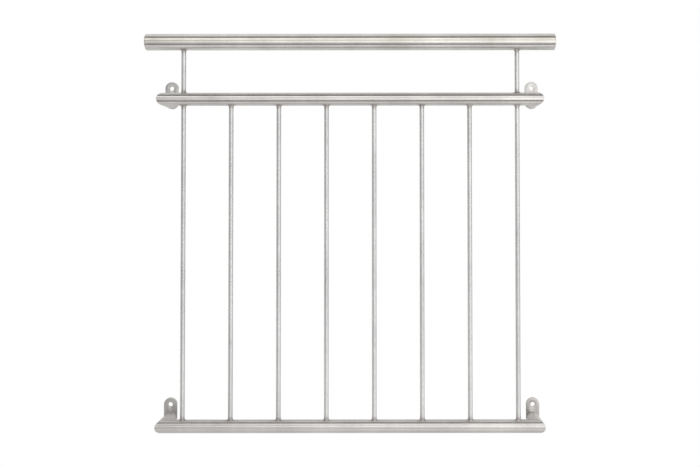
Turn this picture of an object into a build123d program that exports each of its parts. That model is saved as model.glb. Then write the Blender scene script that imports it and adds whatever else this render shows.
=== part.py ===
from build123d import *
import os

# Juliet balcony railing: a flat frame of brushed stainless steel tube and round bar, welded in one piece
# and bolted over a door or window opening by four lugs on the wall.
# Millimetres. The origin is on the wall plane, at the middle of the lower left lug's back face, where the
# axis of the lower left return tube meets it. +X runs right seen from outside, +Y into the wall, +Z up.

# Overall sizes
rail_width = 1000.0            # outside to outside of the returns, which are as wide as the rails
rail_spacing = 845.0           # lower rail axis to upper rail axis
handrail_rise = 149.0          # upper rail axis to handrail axis
handrail_overhang = 31.5       # end cap past the outside of the return, at each end
stand_off = 75.0               # wall to the plane that the rails, bars and handrail share

# Tube and bar stock
rail_diameter = 33.7
rail_wall = 2.0
handrail_diameter = 42.4
handrail_wall = 2.0
bar_diameter = 12.0

# Bars
infill_count = 6               # between the two end posts
end_post_inset = 50.0          # return axis to end post axis
post_hole_clearance = 0.2      # all round, where an end post passes through the upper rail

# Wall lugs
lug_margin = 0.65              # lug past the return on each side
lug_thickness = 5.0
anchor_hole_diameter = 12.0
anchor_hole_height = 38.0      # above the return's axis

# Handrail end caps
cap_thickness = 4.0
cap_edge_radius = 2.5
cap_plug_length = 12.0
cap_plug_clearance = 0.1       # all round, inside the tube

# Welds between the returns and their lugs
return_bevel = 1.5             # ground on the return's wall end, to be filled by the weld
weld_reach = 0.4               # how far the weld runs out on the lug, past the return

# Worked out from the sizes above
rail_radius = rail_diameter / 2
handrail_radius = handrail_diameter / 2
bar_radius = bar_diameter / 2
handrail_length = rail_width + 2 * handrail_overhang
lug_width = rail_diameter + 2 * lug_margin
corner_span = rail_width - rail_diameter
centre_x = corner_span / 2
left_x = 0.0
right_x = corner_span
lower_z = 0.0
upper_z = rail_spacing
handrail_z = rail_spacing + handrail_rise
front_y = -stand_off
bar_count = infill_count + 2
bar_pitch = (corner_span - 2 * end_post_inset) / (bar_count - 1)
bar_places = [end_post_inset + i * bar_pitch for i in range(bar_count)]


def save(builder, label):
    """Writes one finished piece under its own name."""
    builder.part.label = label
    export_step(builder.part, f"parts/{label}.step")


def across(x, z):
    """The plane square to the rails at one place along them, centred on a rail's axis."""
    return Plane(origin=(x, front_y, z), x_dir=(0, 1, 0), z_dir=(1, 0, 0))


def mitre(x, z, side):
    """The 45 degree plane of a corner, facing the rail: side is 1 at the left corner and -1 at the right."""
    return Plane(origin=(x, front_y, z), z_dir=(side, -1, 0))


def make_rail(z, hole_places):
    """Front tube of a rail: mitred at both ends and drilled through where the end posts pass."""
    with BuildPart() as rail:
        with BuildSketch(across(centre_x, z)):
            Circle(rail_radius)
            Circle(rail_radius - rail_wall, mode=Mode.SUBTRACT)
        extrude(amount=rail_width / 2, both=True)
        split(bisect_by=mitre(left_x, z, 1), keep=Keep.TOP)
        split(bisect_by=mitre(right_x, z, -1), keep=Keep.TOP)
        for x in hole_places:
            with Locations(Location((x, front_y, z))):
                Hole(radius=bar_radius + post_hole_clearance, depth=rail_diameter)
    return rail


def make_return(x, z, side):
    """Short tube from the mitre back to the lug, with the wall end bevelled for its weld."""
    with BuildPart() as tube:
        with BuildSketch(Plane(origin=(x, -lug_thickness, z), z_dir=(0, -1, 0))):
            Circle(rail_radius)
            Circle(rail_radius - rail_wall, mode=Mode.SUBTRACT)
        extrude(amount=stand_off - lug_thickness + rail_diameter)
        split(bisect_by=mitre(x, z, side), keep=Keep.BOTTOM)
        wall_end = tube.faces().sort_by(Axis.Y)[-1]
        chamfer(wall_end.outer_wire().edges(), length=return_bevel)
    return tube


def make_lug(x, z):
    """Flat bar with both ends rounded: the lower end sits behind the return, the upper end has the hole."""
    with BuildPart() as lug:
        with BuildSketch(Plane(origin=(x, 0, z), x_dir=(0, 0, 1), z_dir=(0, -1, 0))):
            with Locations((anchor_hole_height / 2, 0)):
                SlotCenterToCenter(anchor_hole_height, lug_width)
        extrude(amount=lug_thickness)
        with Locations(Location((x, -lug_thickness, z + anchor_hole_height), (90, 0, 0))):
            Hole(radius=anchor_hole_diameter / 2, depth=lug_thickness)
    return lug


def make_return_weld(x, z):
    """Ring of weld that fills the bevel between a return and its lug."""
    with BuildPart() as ring:
        with BuildSketch(Plane(origin=(x, 0, z))):
            with BuildLine():
                on_tube = (rail_radius, -lug_thickness - return_bevel)
                root = (rail_radius - return_bevel, -lug_thickness)
                on_lug = (rail_radius + weld_reach, -lug_thickness)
                Polyline(on_tube, root, on_lug, close=True)
            make_face()
        revolve(axis=Axis((x, 0, z), (0, 1, 0)))
    return ring


def make_bar(x, foot_z, foot_radius, head_z, head_radius):
    """Round bar with both ends coped to a saddle over the tubes that it stands between."""
    with BuildPart() as bar:
        with BuildSketch(Plane(origin=(x, front_y, foot_z))):
            Circle(bar_radius)
        extrude(amount=head_z - foot_z)
        for z, radius in ((foot_z, foot_radius), (head_z, head_radius)):
            with BuildSketch(across(x, z)):
                Circle(radius)
            extrude(amount=bar_diameter, both=True, mode=Mode.SUBTRACT)
    return bar


def make_cap(side):
    """End cap of the handrail: a disc with a rounded rim, and a plug inside the tube."""
    end_x = centre_x + side * handrail_length / 2
    with BuildPart() as cap:
        with BuildSketch(Plane(origin=(end_x, front_y, handrail_z), z_dir=(-side, 0, 0))):
            Circle(handrail_radius)
        extrude(amount=cap_thickness)
        rim = cap.edges().sort_by(Axis.X)[0 if side < 0 else -1]
        fillet(rim, radius=cap_edge_radius)
        seat_x = end_x - side * cap_thickness
        with BuildSketch(Plane(origin=(seat_x, front_y, handrail_z), z_dir=(-side, 0, 0))):
            Circle(handrail_radius - handrail_wall - cap_plug_clearance)
        extrude(amount=cap_plug_length)
    return cap


def gather(pieces):
    """Like pieces that don't touch, kept together under one name."""
    with BuildPart() as group:
        for piece in pieces:
            add(piece.part)
    return group


os.makedirs("parts", exist_ok=True)

# Handrail
with BuildPart() as handrail:
    with BuildSketch(across(centre_x, handrail_z)):
        Circle(handrail_radius)
        Circle(handrail_radius - handrail_wall, mode=Mode.SUBTRACT)
    extrude(amount=handrail_length / 2 - cap_thickness, both=True)
save(handrail, "handrail_tube")
save(gather([make_cap(-1), make_cap(1)]), "handrail_caps")

# Rails
post_places = (bar_places[0], bar_places[-1])
save(make_rail(upper_z, post_places), "upper_rail")
save(make_rail(lower_z, ()), "lower_rail")

# Returns and lugs at the four corners, with the welds between them
corners = {
    "upper_left": (left_x, upper_z, 1),
    "upper_right": (right_x, upper_z, -1),
    "lower_left": (left_x, lower_z, 1),
    "lower_right": (right_x, lower_z, -1),
}
for corner, (x, z, side) in corners.items():
    save(make_return(x, z, side), f"return_{corner}")
    save(make_lug(x, z), f"wall_lug_{corner}")
save(gather([make_return_weld(x, z) for x, z, side in corners.values()]), "return_welds")

# End posts, up through the upper rail to the handrail
for hand, x in zip(("left", "right"), post_places):
    save(make_bar(x, lower_z, rail_radius, handrail_z, handrail_radius), f"end_post_{hand}")

# Infill bars, between the two rails
for i, x in enumerate(bar_places[1:-1], start=1):
    save(make_bar(x, lower_z, rail_radius, upper_z, rail_radius), f"infill_bar_{i}")
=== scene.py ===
import math

import bmesh
import bpy
from mathutils import Matrix, Vector


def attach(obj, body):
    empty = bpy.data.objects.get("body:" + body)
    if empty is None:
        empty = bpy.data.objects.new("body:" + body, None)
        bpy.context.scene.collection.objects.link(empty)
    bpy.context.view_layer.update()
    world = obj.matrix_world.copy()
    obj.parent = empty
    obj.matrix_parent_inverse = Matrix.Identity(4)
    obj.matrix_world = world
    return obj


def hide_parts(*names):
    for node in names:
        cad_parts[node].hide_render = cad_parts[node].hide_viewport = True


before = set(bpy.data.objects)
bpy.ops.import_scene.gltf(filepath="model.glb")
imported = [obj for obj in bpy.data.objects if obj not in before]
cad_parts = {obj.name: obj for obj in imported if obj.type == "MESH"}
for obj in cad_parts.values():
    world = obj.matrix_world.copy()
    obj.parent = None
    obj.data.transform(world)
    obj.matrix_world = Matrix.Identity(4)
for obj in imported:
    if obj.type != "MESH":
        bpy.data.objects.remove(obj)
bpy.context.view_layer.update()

# Metres, in the frame of the CAD: the wall is the plane y = 0, +X runs right seen from outside, +Z is up, and
# the middle of the lower left lug's back face is the origin.

# Upper and lower rail
# Round stainless tube, 33.7 mm across with a 2 mm wall, cut to 45 degrees at both ends to meet the returns.
# Drawn and welded tube, brushed round with a 240 grit belt before the frame is put together.
rail_width = 1.000
rail_radius = 0.01685
rail_wall = 0.002
mitre_spare = 0.010            # left on past a mitre until it is cut
corner_span = rail_width - 2 * rail_radius
centre_x = corner_span / 2
left_x = 0.0
right_x = corner_span
front_y = -0.075
lower_z = 0.0
upper_z = 0.845

# Where bars, posts and handrail join, because the heat of those welds has tinted the rails too
bar_inset = 0.050
bar_count = 8
post_spacing = corner_span - 2 * bar_inset
bar_pitch = post_spacing / (bar_count - 1)
bar_places = [bar_inset + i * bar_pitch for i in range(bar_count)]
handrail_radius = 0.0212
handrail_z = 0.994
tint_wander = 0.004            # how far the edge of a heat tint wanders

# Marks of the belt. Real scratches are 0.06 mm apart: these are coarser, so that they show.
scratch_gap = 0.0007
scratch_length = 0.030
across_limit = 0.005           # a spacing shorter than this lies across the scratches
scratches_per_pass = 13        # so that a pass of the belt leaves a band some 9 mm wide
scuff_width = 0.0011
scuff_length = 0.045
patches_per_metre = 9.0        # patches of handling, about 110 mm across
handled_roughness = 0.03       # added where the steel is handled
pass_shift = (3.1, 1.7, 5.3)   # other stretches of the noise, so that nothing lines up
scuff_shift = (8.3, 2.9, 4.1)

# How the meshes are finished
same_place = 1e-7              # two points closer than this are one
smooth_limit = math.radians(32)   # an edge that turns by more stays sharp
flat_end_cosine = 0.9          # a face that looks this straight along a piece is a flat end of it
grain_radius = 0.020           # V of the grain map is in metres at this radius


def linear(hex_colour):
    """An sRGB hex colour as the linear RGBA that a shader socket takes."""
    parts = [int(hex_colour[i:i + 2], 16) / 255 for i in (1, 3, 5)]
    return [c / 12.92 if c <= 0.04045 else ((c + 0.055) / 1.055) ** 2.4 for c in parts] + [1.0]


def bare_material(name):
    """A new material and its node tree, still empty."""
    material = bpy.data.materials.new(name)
    material.use_nodes = True
    material.node_tree.nodes.clear()
    return material, material.node_tree


def add_node(tree, kind, settings=None, **links):
    """Adds one node: settings are its properties and socket values, links the sockets that feed it. A name
    such as _7 is the socket of that number: on a colour mix, _0 is the factor, _6 and _7 the two colours."""
    node = tree.nodes.new(kind)
    for name, value in (settings or {}).items():
        if hasattr(node, name) and name not in node.inputs:
            setattr(node, name, value)
        else:
            key = int(name[1:]) if name[0] == "_" else name
            node.inputs[key].default_value = value
    for name, source in links.items():
        key = int(name[1:]) if name[0] == "_" else name.replace("_", " ")
        tree.links.new(source, node.inputs[key])
    return node


def brushed_stainless(name, grain, steel, dull, roughness=0.34):
    """Brushed stainless steel. grain is the spacing of its scratches along X, Y and Z, short across them and
    long along them. steel is its clean tone, and dull its handled one."""
    material, tree = bare_material(name)
    place = add_node(tree, "ShaderNodeTexCoord").outputs["Object"]

    # Scratches of the belt
    scratch_place = add_node(tree, "ShaderNodeMapping", {"Scale": [1 / g for g in grain]}, Vector=place)
    scratches = add_node(tree, "ShaderNodeTexNoise", {"Scale": 1.0, "Detail": 2.0, "Roughness": 0.6},
                         Vector=scratch_place.outputs[0]).outputs["Fac"]
    streak = add_node(tree, "ShaderNodeMapRange",
                      {"From Min": 0.3, "From Max": 0.7, "To Min": 0.95, "To Max": 1.04}, Value=scratches)

    # Passes of the belt: bands that are a little brighter or duller
    pass_gaps = [scratches_per_pass * g if g < across_limit else g for g in grain]
    pass_place = add_node(tree, "ShaderNodeMapping",
                          {"Scale": [1 / g for g in pass_gaps], "Location": pass_shift}, Vector=place)
    passes = add_node(tree, "ShaderNodeTexNoise", {"Scale": 1.0, "Detail": 1.0}, Vector=pass_place.outputs[0])
    band = add_node(tree, "ShaderNodeMapRange",
                    {"From Min": 0.3, "From Max": 0.7, "To Min": 0.97, "To Max": 1.02},
                    Value=passes.outputs["Fac"])

    # Handling: patches where hands and cloths have changed the tone
    patches = add_node(tree, "ShaderNodeTexNoise",
                       {"Scale": patches_per_metre, "Detail": 3.0, "Roughness": 0.55}, Vector=place)
    handled = add_node(tree, "ShaderNodeMapRange", {"From Min": 0.35, "From Max": 0.65},
                       Value=patches.outputs["Fac"]).outputs["Result"]

    # Scuffs: short fine marks across the scratches, left by fitting. They are dull, not dark.
    scuff_gaps = [scuff_length if g < across_limit else scuff_width for g in grain]
    scuff_place = add_node(tree, "ShaderNodeMapping",
                           {"Scale": [1 / g for g in scuff_gaps], "Location": scuff_shift}, Vector=place)
    scuffs = add_node(tree, "ShaderNodeTexNoise", {"Scale": 1.0, "Detail": 1.0},
                      Vector=scuff_place.outputs[0])
    scuffed = add_node(tree, "ShaderNodeMapRange",
                       {"From Min": 0.68, "From Max": 0.74, "To Min": 0.0, "To Max": 0.09},
                       Value=scuffs.outputs["Fac"])

    # Colour
    tone = add_node(tree, "ShaderNodeMix", {"data_type": "RGBA", "_6": linear(steel), "_7": linear(dull)},
                    _0=handled)
    light = add_node(tree, "ShaderNodeMath", {"operation": "MULTIPLY"}, _0=band.outputs["Result"],
                     _1=streak.outputs["Result"])
    brushed = add_node(tree, "ShaderNodeVectorMath", {"operation": "SCALE"}, _0=tone.outputs[2],
                       Scale=light.outputs[0])
    colour = heat_tint(tree, place, brushed.outputs[0])

    # Roughness: that of the scratches, and a little more where it is handled or scuffed
    rough = add_node(tree, "ShaderNodeMapRange",
                     {"From Min": 0.3, "From Max": 0.7,
                      "To Min": roughness - 0.04, "To Max": roughness + 0.04}, Value=scratches)
    rough = add_node(tree, "ShaderNodeMath", {"operation": "MULTIPLY_ADD", "_1": handled_roughness},
                     _0=handled, _2=rough.outputs["Result"])
    rough = add_node(tree, "ShaderNodeMath", {"operation": "ADD"}, _0=rough.outputs[0],
                     _1=scuffed.outputs["Result"])

    bump = add_node(tree, "ShaderNodeBump", {"Strength": 0.1, "Distance": 0.00001}, Height=scratches)
    along = add_node(tree, "ShaderNodeTangent", {"direction_type": "UV_MAP", "uv_map": "grain"})
    shader = add_node(tree, "ShaderNodeBsdfPrincipled", {"Metallic": 1.0, "Anisotropic": 0.95},
                      Base_Color=colour, Roughness=rough.outputs[0], Normal=bump.outputs[0],
                      Tangent=along.outputs[0])
    add_node(tree, "ShaderNodeOutputMaterial", Surface=shader.outputs[0])
    return material


def heat_tint(tree, place, steel_colour):
    """Purple, then straw, where the welding of a bar or post has heated the steel around the joint."""
    apart = add_node(tree, "ShaderNodeSeparateXYZ", Vector=place)
    along = add_node(tree, "ShaderNodeMath", {"operation": "SUBTRACT", "_1": bar_inset}, _0=apart.outputs[0])
    deep = add_node(tree, "ShaderNodeMath", {"operation": "SUBTRACT", "_1": front_y}, _0=apart.outputs[1])
    nearest = None
    for spacing, joint_z in (
            (bar_pitch, lower_z + rail_radius),
            (bar_pitch, upper_z - rail_radius),
            (post_spacing, upper_z + rail_radius),
            (post_spacing, handrail_z - handrail_radius)):
        aside = add_node(tree, "ShaderNodeMath", {"operation": "PINGPONG", "_1": spacing / 2},
                         _0=along.outputs[0])
        high = add_node(tree, "ShaderNodeMath", {"operation": "SUBTRACT", "_1": joint_z}, _0=apart.outputs[2])
        joint = add_node(tree, "ShaderNodeCombineXYZ", _0=aside.outputs[0], _1=deep.outputs[0],
                         _2=high.outputs[0])
        away = add_node(tree, "ShaderNodeVectorMath", {"operation": "LENGTH"}, _0=joint.outputs[0])
        if nearest is None:
            nearest = away.outputs["Value"]
        else:
            nearest = add_node(tree, "ShaderNodeMath", {"operation": "MINIMUM"}, _0=nearest,
                               _1=away.outputs["Value"]).outputs[0]
    ragged = add_node(tree, "ShaderNodeTexNoise", {"Scale": 300.0, "Detail": 2.0}, Vector=place)
    reach = add_node(tree, "ShaderNodeMath", {"operation": "MULTIPLY_ADD", "_1": tint_wander},
                     _0=ragged.outputs["Fac"], _2=nearest)
    colour = steel_colour
    for near, far, most, tint in ((0.013, 0.019, 0.22, "#bdb29a"), (0.009, 0.014, 0.50, "#837c82")):
        amount = add_node(tree, "ShaderNodeMapRange",
                          {"interpolation_type": "SMOOTHSTEP", "From Min": near, "From Max": far,
                           "To Min": most, "To Max": 0.0}, Value=reach.outputs[0])
        colour = add_node(tree, "ShaderNodeMix", {"data_type": "RGBA", "_7": linear(tint)},
                          _0=amount.outputs["Result"], _6=colour).outputs[2]
    return colour


def turned(bm, profile, steps):
    """Spins a profile of (place along X, radius) points about X. One that leaves the axis open is closed."""
    points = [bm.verts.new((a, 0, r)) for a, r in profile]
    edges = [bm.edges.new(pair) for pair in zip(points, points[1:])]
    if profile[0][1] > 0:
        edges.append(bm.edges.new((points[-1], points[0])))
    bmesh.ops.spin(bm, geom=points + edges, cent=(0, 0, 0), axis=(1, 0, 0), angle=2 * math.pi, steps=steps,
                   use_merge=True)
    bmesh.ops.remove_doubles(bm, verts=bm.verts, dist=same_place)
    bmesh.ops.recalc_face_normals(bm, faces=bm.faces)


def cut_square(bm, place, facing):
    """Cuts a tube off at a plane, drops what lies on the side that facing points to, and closes the wall."""
    cut = bmesh.ops.bisect_plane(bm, geom=bm.verts[:] + bm.edges[:] + bm.faces[:], dist=same_place,
                                 plane_co=place, plane_no=facing, clear_outer=True)
    rims = [e for e in cut["geom_cut"] if isinstance(e, bmesh.types.BMEdge)]
    bmesh.ops.bridge_loops(bm, edges=rims)
    bmesh.ops.recalc_face_normals(bm, faces=bm.faces)


def lay_grain(bm, along, centre):
    """Writes the UV map that the belt's direction is read from: U runs along the piece, or outwards on a flat
    end, in metres, and V runs round it, in metres at grain_radius."""
    layer = bm.loops.layers.uv.new("grain")
    along = Vector(along)
    side = along.orthogonal().normalized()
    up = along.cross(side)
    for face in bm.faces:
        middle = face.calc_center_median() - Vector(centre)
        at = math.atan2(middle.dot(up), middle.dot(side))
        flat_end = abs(face.normal.dot(along)) > flat_end_cosine
        for loop in face.loops:
            reach = loop.vert.co - Vector(centre)
            turn = math.atan2(reach.dot(up), reach.dot(side))
            turn += 2 * math.pi * round((at - turn) / (2 * math.pi))
            out = (reach - along * reach.dot(along)).length
            loop[layer].uv = (out if flat_end else reach.dot(along), turn * grain_radius)


def as_object(bm, name, material):
    """Turns a finished bmesh into an object of one material."""
    mesh = bpy.data.meshes.new(name)
    bm.to_mesh(mesh)
    bm.free()
    mesh.materials.append(material)
    obj = bpy.data.objects.new(name, mesh)
    bpy.context.scene.collection.objects.link(obj)
    return obj


def piece(bm, name, material, replaces=()):
    """Makes one piece of the railing, which rides on its only body and stands for its CAD nodes."""
    obj = as_object(bm, name, material)
    obj.data.shade_smooth()
    obj.data.set_sharp_from_angle(angle=smooth_limit)
    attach(obj, "root")
    if replaces:
        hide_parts(*replaces)


# Brushed 240 grit stainless, belt run round the tube: highlights draw out into long bands along it.
rail_steel = brushed_stainless("brushed_stainless_rail", (scratch_gap, scratch_length, scratch_length),
                               steel="#cecbc8", dull="#c2bfbc")

half = rail_width / 2 + mitre_spare
for name, z in (("upper_rail", upper_z), ("lower_rail", lower_z)):
    bm = bmesh.new()
    turned(bm, [(-half, rail_radius), (half, rail_radius), (half, rail_radius - rail_wall),
                (-half, rail_radius - rail_wall)], steps=72)
    bmesh.ops.translate(bm, verts=bm.verts, vec=(centre_x, front_y, z))
    cut_square(bm, (left_x, front_y, z), (-1, 1, 0))
    cut_square(bm, (right_x, front_y, z), (1, 1, 0))
    lay_grain(bm, (1, 0, 0), (0, front_y, z))
    piece(bm, name + "_tube", rail_steel, [name])

# Returns
# Four short tubes of the same stock that carry the rails back to the wall, mitred and welded to the rails,
# with the joint ground flush. The wall end is bevelled for the weld to its lug.
lug_thickness = 0.005
return_bevel = 0.0015
corners = {
    "upper_left": (left_x, upper_z, 1),
    "upper_right": (right_x, upper_z, -1),
    "lower_left": (left_x, lower_z, 1),
    "lower_right": (right_x, lower_z, -1),
}

# The same brushed tube, painted lighter as a stand-in for the brighter reflections it catches; end on, its
# bands merge.
return_steel_painted_lighter = brushed_stainless("brushed_stainless_return", (scratch_length, scratch_gap, scratch_length),
                                 steel="#d8d5d2", dull="#cac7c4")

blank_end = front_y - rail_radius - mitre_spare
for corner, (x, z, side) in corners.items():
    bm = bmesh.new()
    turned(bm, [(blank_end, rail_radius), (-lug_thickness - return_bevel, rail_radius),
                (-lug_thickness, rail_radius - return_bevel), (-lug_thickness, rail_radius - rail_wall),
                (blank_end, rail_radius - rail_wall)], steps=72)
    bmesh.ops.rotate(bm, verts=bm.verts, cent=(0, 0, 0), matrix=Matrix.Rotation(math.pi / 2, 3, "Z"))
    bmesh.ops.translate(bm, verts=bm.verts, vec=(x, 0, z))
    cut_square(bm, (x, front_y, z), (side, -1, 0))
    lay_grain(bm, (0, 1, 0), (x, 0, z))
    piece(bm, f"{corner}_return", return_steel_painted_lighter, [f"return_{corner}"])

# Mitre welds
# A bead of filler round each corner where the rail meets its return, ground down until it stands only just
# proud, so that it shows as a thin duller line across the brushed tubes.
mitre_bead_radius = 0.0011
mitre_bead_proud = 0.00008
mitre_bead_sides = 12


def weld_metal(name, roughness, light, dark):
    """Cleaned weld: ripples of the puddle, brushed over, with a duller and slightly purple tone."""
    material, tree = bare_material(name)
    place = add_node(tree, "ShaderNodeTexCoord").outputs["Object"]
    grains = add_node(tree, "ShaderNodeTexNoise", {"Scale": 900.0, "Detail": 3.0}, Vector=place)
    clouds = add_node(tree, "ShaderNodeTexNoise", {"Scale": 120.0, "Detail": 2.0}, Vector=place)
    cloudy = add_node(tree, "ShaderNodeMapRange", {"From Min": 0.35, "From Max": 0.65},
                      Value=clouds.outputs["Fac"])
    tone = add_node(tree, "ShaderNodeMix", {"data_type": "RGBA", "_6": linear(light), "_7": linear(dark)},
                    _0=cloudy.outputs["Result"])
    rough = add_node(tree, "ShaderNodeMapRange",
                     {"From Min": 0.3, "From Max": 0.7,
                      "To Min": roughness - 0.08, "To Max": roughness + 0.1}, Value=grains.outputs["Fac"])
    bump = add_node(tree, "ShaderNodeBump", {"Strength": 0.4, "Distance": 0.0001},
                    Height=grains.outputs["Fac"])
    shader = add_node(tree, "ShaderNodeBsdfPrincipled", {"Metallic": 1.0}, Base_Color=tone.outputs[2],
                      Roughness=rough.outputs["Result"], Normal=bump.outputs[0])
    add_node(tree, "ShaderNodeOutputMaterial", Surface=shader.outputs[0])
    return material


def join_in(bm, part):
    """Moves a finished bmesh into another one."""
    mesh = bpy.data.meshes.new("part")
    part.to_mesh(mesh)
    part.free()
    bm.from_mesh(mesh)
    bpy.data.meshes.remove(mesh)


# Stainless weld ground flush: it has lost its ripples but not taken the belt's grain, so it breaks the bands.
ground_weld = weld_metal("ground_stainless_weld", roughness=0.36, light="#c6c2be", dark="#b4afac")

bead_middle = rail_radius + mitre_bead_proud - mitre_bead_radius
bead_turns = [2 * math.pi * i / mitre_bead_sides for i in range(mitre_bead_sides)]
bead_profile = [(mitre_bead_radius * math.cos(t), bead_middle + mitre_bead_radius * math.sin(t))
                for t in bead_turns]
bm = bmesh.new()
for corner, (x, z, side) in corners.items():
    ring = bmesh.new()
    turned(ring, bead_profile, steps=96)
    lean = Matrix(((1, side, 0, 0), (0, 1, 0, 0), (0, 0, 1, 0), (0, 0, 0, 1)))
    bmesh.ops.transform(ring, matrix=Matrix.Translation((x, front_y, z)) @ lean, verts=ring.verts)
    join_in(bm, ring)
piece(bm, "mitre_welds", ground_weld)

# Wall lugs
# Flat bar, 35 by 5 mm with both ends rounded and the edges broken, drilled 12 mm for the wall anchor.
# Its lower end is welded behind the return, and its upper end stands clear for the anchor.
lug_radius = 0.0175
anchor_height = 0.038
anchor_radius = 0.006
lug_edge_break = 0.0004
lug_edge_angle = 1.0           # in radians: an edge that turns by more is broken
lug_steps = 96

# Flat stainless bar brushed along its length: a soft satin face with no sharp highlight.
lug_steel = brushed_stainless("brushed_stainless_lug", (scratch_gap, scratch_length, scratch_length),
                              steel="#cbc9c6", dull="#bdbab7", roughness=0.36)

for corner, (x, z, side) in corners.items():
    bm = bmesh.new()
    outline = bmesh.ops.create_circle(bm, segments=lug_steps, radius=lug_radius)["verts"]
    bore = bmesh.ops.create_circle(bm, segments=lug_steps, radius=anchor_radius)["verts"]
    half_step = Matrix.Rotation(math.pi / lug_steps, 3, "Z")
    bmesh.ops.rotate(bm, verts=bm.verts, cent=(0, 0, 0), matrix=half_step)
    upper_end = [v for v in outline if v.co.y > 0]
    bmesh.ops.translate(bm, verts=upper_end + bore, vec=(0, anchor_height, 0))
    bmesh.ops.bridge_loops(bm, edges=bm.edges[:])
    bmesh.ops.rotate(bm, verts=bm.verts, cent=(0, 0, 0), matrix=Matrix.Rotation(math.pi / 2, 3, "X"))
    bmesh.ops.translate(bm, verts=bm.verts, vec=(x, 0, z))
    block = bmesh.ops.extrude_face_region(bm, geom=bm.faces[:])
    face_verts = [v for v in block["geom"] if isinstance(v, bmesh.types.BMVert)]
    bmesh.ops.translate(bm, verts=face_verts, vec=(0, -lug_thickness, 0))
    bmesh.ops.recalc_face_normals(bm, faces=bm.faces)
    front_rims = [e for e in bm.edges if all(v.co.y < -lug_thickness / 2 for v in e.verts)
                  and len(e.link_faces) == 2 and e.calc_face_angle() > lug_edge_angle]
    bmesh.ops.bevel(bm, geom=front_rims, offset=lug_edge_break, segments=2, profile=0.5, affect="EDGES",
                    material=-1)
    layer = bm.loops.layers.uv.new("grain")
    for face in bm.faces:
        for loop in face.loops:
            loop[layer].uv = (loop.vert.co.x - x, loop.vert.co.z - z)
    piece(bm, f"{corner}_lug", lug_steel, [f"wall_lug_{corner}"])

# Welds between returns and lugs
# One ring of filler to each return, laid in its bevel and wiped with the brush: low and slightly full.
lug_weld_reach = 0.0004
lug_weld_crown = (0.0009, 0.0002)   # out from the lug, and over the tube

# Cleaned stainless weld: a little darker and softer than the steel, with broken glints in place of bands.
weld_steel = weld_metal("cleaned_stainless_weld", roughness=0.40, light="#bab6b2", dark="#999397")

bm = bmesh.new()
for corner, (x, z, side) in corners.items():
    ring = bmesh.new()
    turned(ring, [(-lug_thickness - return_bevel, rail_radius),
                  (-lug_thickness - lug_weld_crown[0], rail_radius + lug_weld_crown[1]),
                  (-lug_thickness, rail_radius + lug_weld_reach),
                  (-lug_thickness, rail_radius - return_bevel)], steps=120)
    bmesh.ops.rotate(ring, verts=ring.verts, cent=(0, 0, 0), matrix=Matrix.Rotation(math.pi / 2, 3, "Z"))
    bmesh.ops.translate(ring, verts=ring.verts, vec=(x, 0, z))
    join_in(bm, ring)
piece(bm, "lug_weld_rings", weld_steel, ["return_welds"])

# End posts and infill bars
# Solid 12 mm round bar. The six infill bars stand between the rails, coped to sit on them. The two end posts
# run on through the upper rail to the underside of the handrail.
bar_radius = 0.006
bar_blank = 1.0                # half the blank's length, before its ends are coped

# Round bar, brushed round like the tubes but of a more neutral steel: a thin bright line with a dark edge.
bar_steel = brushed_stainless("brushed_stainless_bar", (scratch_length, scratch_length, scratch_gap),
                              steel="#d5d5d4", dull="#c9c9c8")


def saddle(tube_radius, v):
    """How high a tube's surface stands over its axis, under or above a point at that point's depth."""
    return math.sqrt(tube_radius ** 2 - v.co.y ** 2)


def standing_bar(x, foot_z, foot_radius, head_z, head_radius):
    """A round bar with both ends coped over the tubes that it stands between."""
    bm = bmesh.new()
    turned(bm, [(-bar_blank, 0), (-bar_blank, bar_radius), (bar_blank, bar_radius), (bar_blank, 0)], steps=40)
    bmesh.ops.rotate(bm, verts=bm.verts, cent=(0, 0, 0), matrix=Matrix.Rotation(-math.pi / 2, 3, "Y"))
    for v in bm.verts:
        if v.co.z < 0:
            v.co.z = foot_z + saddle(foot_radius, v)
        else:
            v.co.z = head_z - saddle(head_radius, v)
    bmesh.ops.translate(bm, verts=bm.verts, vec=(x, front_y, 0))
    bmesh.ops.recalc_face_normals(bm, faces=bm.faces)
    lay_grain(bm, (0, 0, 1), (x, front_y, 0))
    return bm


posts = (bar_places[0], bar_places[-1])
for hand, x in zip(("left", "right"), posts):
    bm = standing_bar(x, lower_z, rail_radius, handrail_z, handrail_radius)
    piece(bm, f"{hand}_end_post", bar_steel, [f"end_post_{hand}"])
for i, x in enumerate(bar_places[1:-1], start=1):
    bm = standing_bar(x, lower_z, rail_radius, upper_z, rail_radius)
    piece(bm, f"bar_{i}", bar_steel, [f"infill_bar_{i}"])

# Welds round the bars
# A small fillet of the same filler all round each bar where it meets a tube, cleaned with its ripples left.
# Each ripple is the edge of one puddle, and bends forward in the middle of the bead.
bead_leg = 0.0022
bead_sink = 0.0004             # into the bar and the tube, so that nothing gapes
bead_root = 0.0001             # nearer to the bar than this, a bead keeps its shape
flat_share = 0.45              # the face is part flat fillet and part round
round_share = 0.55
ripple_count = 26
ripple_height = 0.03           # as a share of the leg
ripple_bend = 5.0
ripple_lead = 0.4              # how far up the bead a ripple leads


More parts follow.
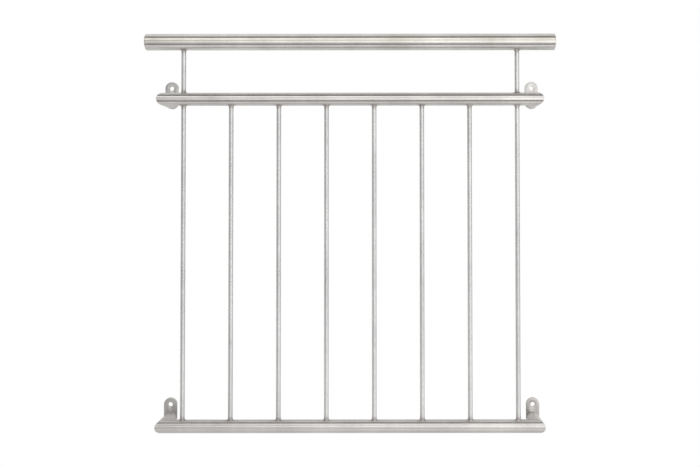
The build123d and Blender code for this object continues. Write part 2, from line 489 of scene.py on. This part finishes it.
def bead(bm, x, tube_z, tube_radius, side):
    """Adds one bead round a bar: side is 1 on top of the tube and -1 underneath."""
    ring = bmesh.new()
    face = []
    for t in range(0, 91, 15):
        rise = flat_share * t / 90 + round_share * math.sin(math.radians(t))
        out = flat_share * (1 - t / 90) + round_share * math.cos(math.radians(t))
        face.append((bead_leg * rise, bar_radius + bead_leg * out))
    turned(ring, [(-bead_sink, bar_radius - bead_sink), (-bead_sink, bar_radius + bead_leg)] + face
           + [(bead_leg, bar_radius - bead_sink)], steps=130)
    bmesh.ops.rotate(ring, verts=ring.verts, cent=(0, 0, 0), matrix=Matrix.Rotation(-math.pi / 2, 3, "Y"))
    for v in ring.verts:
        out = Vector((v.co.x, v.co.y)).length
        crescent = ripple_bend * (v.co.z / bead_leg - ripple_lead) ** 2
        ripple = ripple_height * math.cos(ripple_count * math.atan2(v.co.y, v.co.x) + crescent)
        if out > bar_radius + bead_root:
            v.co.x *= 1 + ripple * bead_leg / out
            v.co.y *= 1 + ripple * bead_leg / out
        v.co.z = side * (v.co.z * (1 + ripple) + saddle(tube_radius, v))
    bmesh.ops.translate(ring, verts=ring.verts, vec=(x, front_y, tube_z))
    bmesh.ops.recalc_face_normals(ring, faces=ring.faces)
    join_in(bm, ring)


for name, places, z, radius, side in (
        ("welds_on_lower_rail", bar_places, lower_z, rail_radius, 1),
        ("welds_under_upper_rail", bar_places, upper_z, rail_radius, -1),
        ("welds_on_upper_rail", posts, upper_z, rail_radius, 1),
        ("welds_under_handrail", posts, handrail_z, handrail_radius, -1)):
    bm = bmesh.new()
    for x in places:
        bead(bm, x, z, radius, side)
    piece(bm, name, weld_steel)

# Handrail
# One straight tube, 42.4 mm across with a 2 mm wall, that lies on the two end posts. It is brushed round like
# the rails. A faint straw tint is painted on the upper part of its front, standing in for warm reflected
# light.
handrail_wall = 0.002
handrail_length = 1.063
cap_thickness = 0.004
seam = 0.0002                  # edge broken on tube and cap, which leaves a fine line where they meet
# Heights where the painted straw tint of warm reflected light fades in and fades out
warm_reflection_fade_in = (handrail_z - 0.006, handrail_z + 0.001)
warm_reflection_fade_out = (handrail_z + 0.009, handrail_z + 0.014)


def painted_warm_reflection(material):
    """Lays a painted warm reflection tint over a handrail steel: it fades in over one height range, out over
    the next.
    """
    tree = material.node_tree
    shader = tree.nodes["Principled BSDF"]
    bare = shader.inputs["Base Color"].links[0].from_socket
    place = add_node(tree, "ShaderNodeTexCoord").outputs["Object"]
    apart = add_node(tree, "ShaderNodeSeparateXYZ", Vector=place)
    fades = []
    for (low, high), below, above in ((warm_reflection_fade_in, 0.0, 1.0), (warm_reflection_fade_out, 1.0, 0.0)):
        fades.append(add_node(tree, "ShaderNodeMapRange",
                              {"interpolation_type": "SMOOTHSTEP", "From Min": low, "From Max": high,
                               "To Min": below, "To Max": above}, Value=apart.outputs[2]).outputs["Result"])
    amount = add_node(tree, "ShaderNodeMath", {"operation": "MULTIPLY"}, _0=fades[0], _1=fades[1])
    cast = add_node(tree, "ShaderNodeMix",
                    {"data_type": "RGBA", "blend_type": "MULTIPLY", "_7": linear("#fffdf6")},
                    _0=amount.outputs[0], _6=bare)
    tree.links.new(cast.outputs[2], shader.inputs["Base Color"])


# Brushed round as the rails are, in a brighter steel: broad pale bands with thin dark lines between them.
handrail_steel = brushed_stainless("brushed_stainless_handrail",
                                   (scratch_gap, scratch_length, scratch_length),
                                   steel="#d7d5d2", dull="#c5c2be")
# A faint straw tint painted on the upper front, standing in for warm reflected light.
painted_warm_reflection(handrail_steel)

bm = bmesh.new()
half = handrail_length / 2 - cap_thickness
turned(bm, [(-half, handrail_radius - seam), (-half + seam, handrail_radius), (half - seam, handrail_radius),
            (half, handrail_radius - seam), (half, handrail_radius - handrail_wall),
            (-half, handrail_radius - handrail_wall)], steps=80)
bmesh.ops.translate(bm, verts=bm.verts, vec=(centre_x, front_y, handrail_z))
lay_grain(bm, (1, 0, 0), (0, front_y, handrail_z))
piece(bm, "handrail_brushed_tube", handrail_steel, ["handrail_tube"])

# Handrail end caps
# Turned discs with a rounded rim, pushed into the tube on a plug and welded round, then brushed flush.
cap_edge = 0.0025
cap_edge_steps = 8
cap_plug = 0.012
cap_plug_gap = 0.0001          # all round, inside the tube
plug_radius = handrail_radius - handrail_wall - cap_plug_gap
cap_streak = 0.0016            # height of the fine streaks on the end

# The handrail's steel on the end: a satin disc whose sheen fans out, with the tube's bands bent in round it.
cap_steel = brushed_stainless("brushed_stainless_cap", (scratch_gap, scratch_length, cap_streak),
                              steel="#d7d5d2", dull="#c5c2be")
# The same painted straw tint of warm reflected light, over the upper part of the caps.
painted_warm_reflection(cap_steel)

rim_turns = [math.pi / 2 * i / cap_edge_steps for i in range(cap_edge_steps + 1)]
rim = [(cap_edge * (1 - math.cos(t)), handrail_radius - cap_edge + cap_edge * math.sin(t)) for t in rim_turns]
bm = bmesh.new()
for side in (-1, 1):
    cap = bmesh.new()
    turned(cap, [(0, 0)] + rim + [
        (cap_thickness - seam, handrail_radius), (cap_thickness, handrail_radius - seam),
        (cap_thickness, plug_radius), (cap_thickness + cap_plug, plug_radius),
        (cap_thickness + cap_plug, 0)], steps=80)
    if side > 0:
        bmesh.ops.rotate(cap, verts=cap.verts, cent=(0, 0, 0), matrix=Matrix.Rotation(math.pi, 3, "Z"))
    end_x = centre_x + side * handrail_length / 2
    bmesh.ops.translate(cap, verts=cap.verts, vec=(end_x, front_y, handrail_z))
    join_in(bm, cap)
lay_grain(bm, (1, 0, 0), (0, front_y, handrail_z))
piece(bm, "handrail_end_caps", cap_steel, ["handrail_caps"])

# Camera
# Stands 2.1 m out from the wall, a little right of the middle and just over half way up, as the photograph's
# did. The lens axis meets the picture above and to the right of its middle, so the lens is shifted.
image_width = 700
image_height = 467
focal_length_px = 784.962
axis_px = (387.4, 183.0)
stand = (0.580124, -2.109995, 0.586552)
pitch, yaw, roll = (math.radians(a) for a in (1.139, -0.024, -0.05))

lens = bpy.data.cameras.new("camera")
lens.sensor_width = 36.0
lens.lens = focal_length_px / image_width * lens.sensor_width
lens.shift_x = (image_width / 2 - axis_px[0]) / image_width
lens.shift_y = (axis_px[1] - image_height / 2) / image_width
camera = bpy.data.objects.new("camera", lens)
bpy.context.scene.collection.objects.link(camera)
ahead = Vector((math.sin(yaw) * math.cos(pitch), math.cos(yaw) * math.cos(pitch), math.sin(pitch)))
level = Vector((math.cos(yaw), -math.sin(yaw), 0))
over = level.cross(ahead)
right = level * math.cos(roll) + over * math.sin(roll)
upward = over * math.cos(roll) - level * math.sin(roll)
facing = Matrix((right, upward, -ahead)).transposed().to_4x4()
camera.matrix_world = Matrix.Translation(stand) @ facing
bpy.context.scene.camera = camera

# Studio
# A plain white room with three soft boxes in front. Grey sheets give the metal its darker bands, as the
# surroundings did in the photograph. Only reflections show the sheets and the fronts of the boxes.
room_white = 1.0               # as the camera and reflections show it
room_light = 0.75              # as it lights matt surfaces
lamp_watts = 4                 # for a square metre of lamp as bright as 1
bpy.context.scene.view_settings.view_transform = "Standard"


def direct_ray(tree):
    """A socket that is 1 where the camera, a reflection or glass sees the surface, and 0 for other light."""
    rays = add_node(tree, "ShaderNodeLightPath")
    seen = rays.outputs["Is Camera Ray"]
    for kind in ("Is Glossy Ray", "Is Transmission Ray"):
        seen = add_node(tree, "ShaderNodeMath", {"operation": "MAXIMUM"}, _0=seen,
                        _1=rays.outputs[kind]).outputs[0]
    return seen


world = bpy.data.worlds.new("white_room")
bpy.context.scene.world = world
world.use_nodes = True
world.node_tree.nodes.clear()
power = add_node(world.node_tree, "ShaderNodeMapRange", {"To Min": room_light, "To Max": room_white},
                 Value=direct_ray(world.node_tree))
room = add_node(world.node_tree, "ShaderNodeBackground", {"Color": (1, 1, 1, 1)},
                Strength=power.outputs["Result"])
add_node(world.node_tree, "ShaderNodeOutputWorld", Surface=room.outputs[0])


def card(bm, name, brightness):
    """Finishes a sheet that only reflections show: brightness is what a mirror shows of it, white being 1."""
    material, tree = bare_material(name)
    material.cycles.emission_sampling = "NONE"
    glow = add_node(tree, "ShaderNodeEmission", {"Color": (1, 1, 1, 1), "Strength": brightness})
    add_node(tree, "ShaderNodeOutputMaterial", Surface=glow.outputs[0])
    obj = as_object(bm, name, material)
    for way in ("camera", "diffuse", "transmission", "volume_scatter", "shadow"):
        setattr(obj, "visible_" + way, False)


def sheet_of_card(name, corner_a, corner_b, brightness):
    """A flat sheet between two opposite corners, which share one coordinate."""
    a = Vector(corner_a)
    b = Vector(corner_b)
    size = [abs(s) for s in b - a]
    thin = size.index(min(size))
    size[thin] = 1
    bm = bmesh.new()
    bmesh.ops.create_grid(bm, x_segments=1, y_segments=1, size=0.5)
    if thin != 2:
        upright = Matrix.Rotation(math.pi / 2, 3, "Y" if thin == 0 else "X")
        bmesh.ops.rotate(bm, verts=bm.verts, cent=(0, 0, 0), matrix=upright)
    bmesh.ops.scale(bm, verts=bm.verts, vec=size)
    bmesh.ops.translate(bm, verts=bm.verts, vec=(a + b) / 2)
    card(bm, name, brightness)


# Dark flags overhead and below draw the thin dark lines along the rails and the handrail, on either side of
# what the pale ceiling gives.
sheet_of_card("flag_overhead", (-2.5, -1.62, 3.2), (3.5, -0.98, 3.2), brightness=0.05)
sheet_of_card("flag_near", (-0.7, -0.47, 1.6), (1.7, -0.25, 1.6), brightness=0.05)
sheet_of_card("ceiling", (-3.0, -0.96, 3.3), (4.0, 3.0, 3.3), brightness=1.0)
sheet_of_card("flag_low", (-2.0, -1.66, 0.0), (3.0, -0.90, 0.0), brightness=0.15)

# Pale boards low on the right light the undersides there.
sheet_of_card("board_near", (0.20, -1.25, -0.85), (2.3, -0.62, -0.85), brightness=1.35)
sheet_of_card("board_far", (0.20, -0.62, -0.85), (2.3, 0.60, -0.85), brightness=0.9)

# Grey flags on the left draw the dark edge of each bar, and shade the lugs on that side.
sheet_of_card("flag_left", (-2.2, -1.27, -0.4), (-0.27, -1.27, 1.5), brightness=0.35)
sheet_of_card("flag_upper_left", (-1.6, -1.30, 0.98), (-0.20, -1.30, 1.3), brightness=0.40)

# Pale walls behind and beside the frame, with two dark strips that give the back of the tubes its lines.
sheet_of_card("back", (-3.0, 3.0, -0.45), (4.0, 3.0, 3.3), brightness=0.80)
sheet_of_card("strip_behind_high", (-3.0, 2.9, 1.9), (4.0, 2.9, 2.5), brightness=0.12)
sheet_of_card("strip_behind_low", (-3.0, 2.9, -0.45), (4.0, 2.9, -0.05), brightness=0.12)
sheet_of_card("left_side", (-3.0, -0.6, -0.45), (-3.0, 3.0, 3.3), brightness=0.62)
sheet_of_card("right_side", (4.0, -0.6, -0.45), (4.0, 3.0, 3.3), brightness=0.75)


def soft_box(name, place, aim, width, height, brightness):
    """A soft box: a lamp that lights the floor, and its front as a card for the metal to reflect. The lamp
    gives what the front has over the white room."""
    lamp = bpy.data.lights.new(name, "AREA")
    lamp.shape = "RECTANGLE"
    lamp.size = width
    lamp.size_y = height
    lamp.energy = lamp_watts * (brightness - room_white) * width * height
    obj = bpy.data.objects.new(name, lamp)
    bpy.context.scene.collection.objects.link(obj)
    turn = (Vector(place) - Vector(aim)).to_track_quat("Z", "Y")
    obj.matrix_world = Matrix.Translation(place) @ turn.to_matrix().to_4x4()
    obj.visible_camera = False
    obj.visible_glossy = False
    bm = bmesh.new()
    bmesh.ops.create_grid(bm, x_segments=1, y_segments=1, size=0.5)
    bmesh.ops.scale(bm, verts=bm.verts, vec=(width, height, 1))
    bmesh.ops.transform(bm, verts=bm.verts, matrix=obj.matrix_world)
    card(bm, name + "_front", brightness)


soft_box("soft_box_right", (2.3, -1.9, 0.6), (0.5, 0.0, 0.6), width=1.8, height=2.4, brightness=2.08)
soft_box("soft_box_front", (0.6, -3.2, 0.8), (0.5, 0.0, 0.6), width=3.0, height=0.7, brightness=2.24)
soft_box("soft_box_top", (0.5, -2.2, 2.45), (0.5, 0.0, 0.5), width=2.6, height=1.0, brightness=2.06)

# Floor
# A plain pale round floor well below the frame, which hangs on a wall. It keeps the frame's soft shadow, and
# fades into the white room towards its rim.
floor_z = -0.9
floor_radius = 2.4
fade_from = 0.9
fade_to = 2.35
white_share = 0.35             # at the middle of the floor
floor_grey = 0.9
floor_paint, tree = bare_material("pale_floor")
place = add_node(tree, "ShaderNodeTexCoord").outputs["Object"]
centred = add_node(tree, "ShaderNodeMapping", {"Location": (-centre_x, 0, -floor_z)}, Vector=place)
from_middle = add_node(tree, "ShaderNodeVectorMath", {"operation": "LENGTH"}, _0=centred.outputs[0])
fade = add_node(tree, "ShaderNodeMapRange",
                {"interpolation_type": "SMOOTHSTEP", "From Min": fade_from, "From Max": fade_to,
                 "To Min": white_share, "To Max": 1.0}, Value=from_middle.outputs["Value"])
amount = add_node(tree, "ShaderNodeMath", {"operation": "MULTIPLY"}, _0=fade.outputs["Result"],
                  _1=direct_ray(tree))
paint = add_node(tree, "ShaderNodeBsdfDiffuse", {"Color": (floor_grey, floor_grey, floor_grey, 1)})
white = add_node(tree, "ShaderNodeEmission", {"Color": (1, 1, 1, 1), "Strength": room_white})
mixed = add_node(tree, "ShaderNodeMixShader", _0=amount.outputs[0], _1=paint.outputs[0], _2=white.outputs[0])
add_node(tree, "ShaderNodeOutputMaterial", Surface=mixed.outputs[0])

bm = bmesh.new()
bmesh.ops.create_circle(bm, cap_ends=True, segments=96, radius=floor_radius)
bmesh.ops.translate(bm, verts=bm.verts, vec=(centre_x, 0, floor_z))
as_object(bm, "floor", floor_paint)
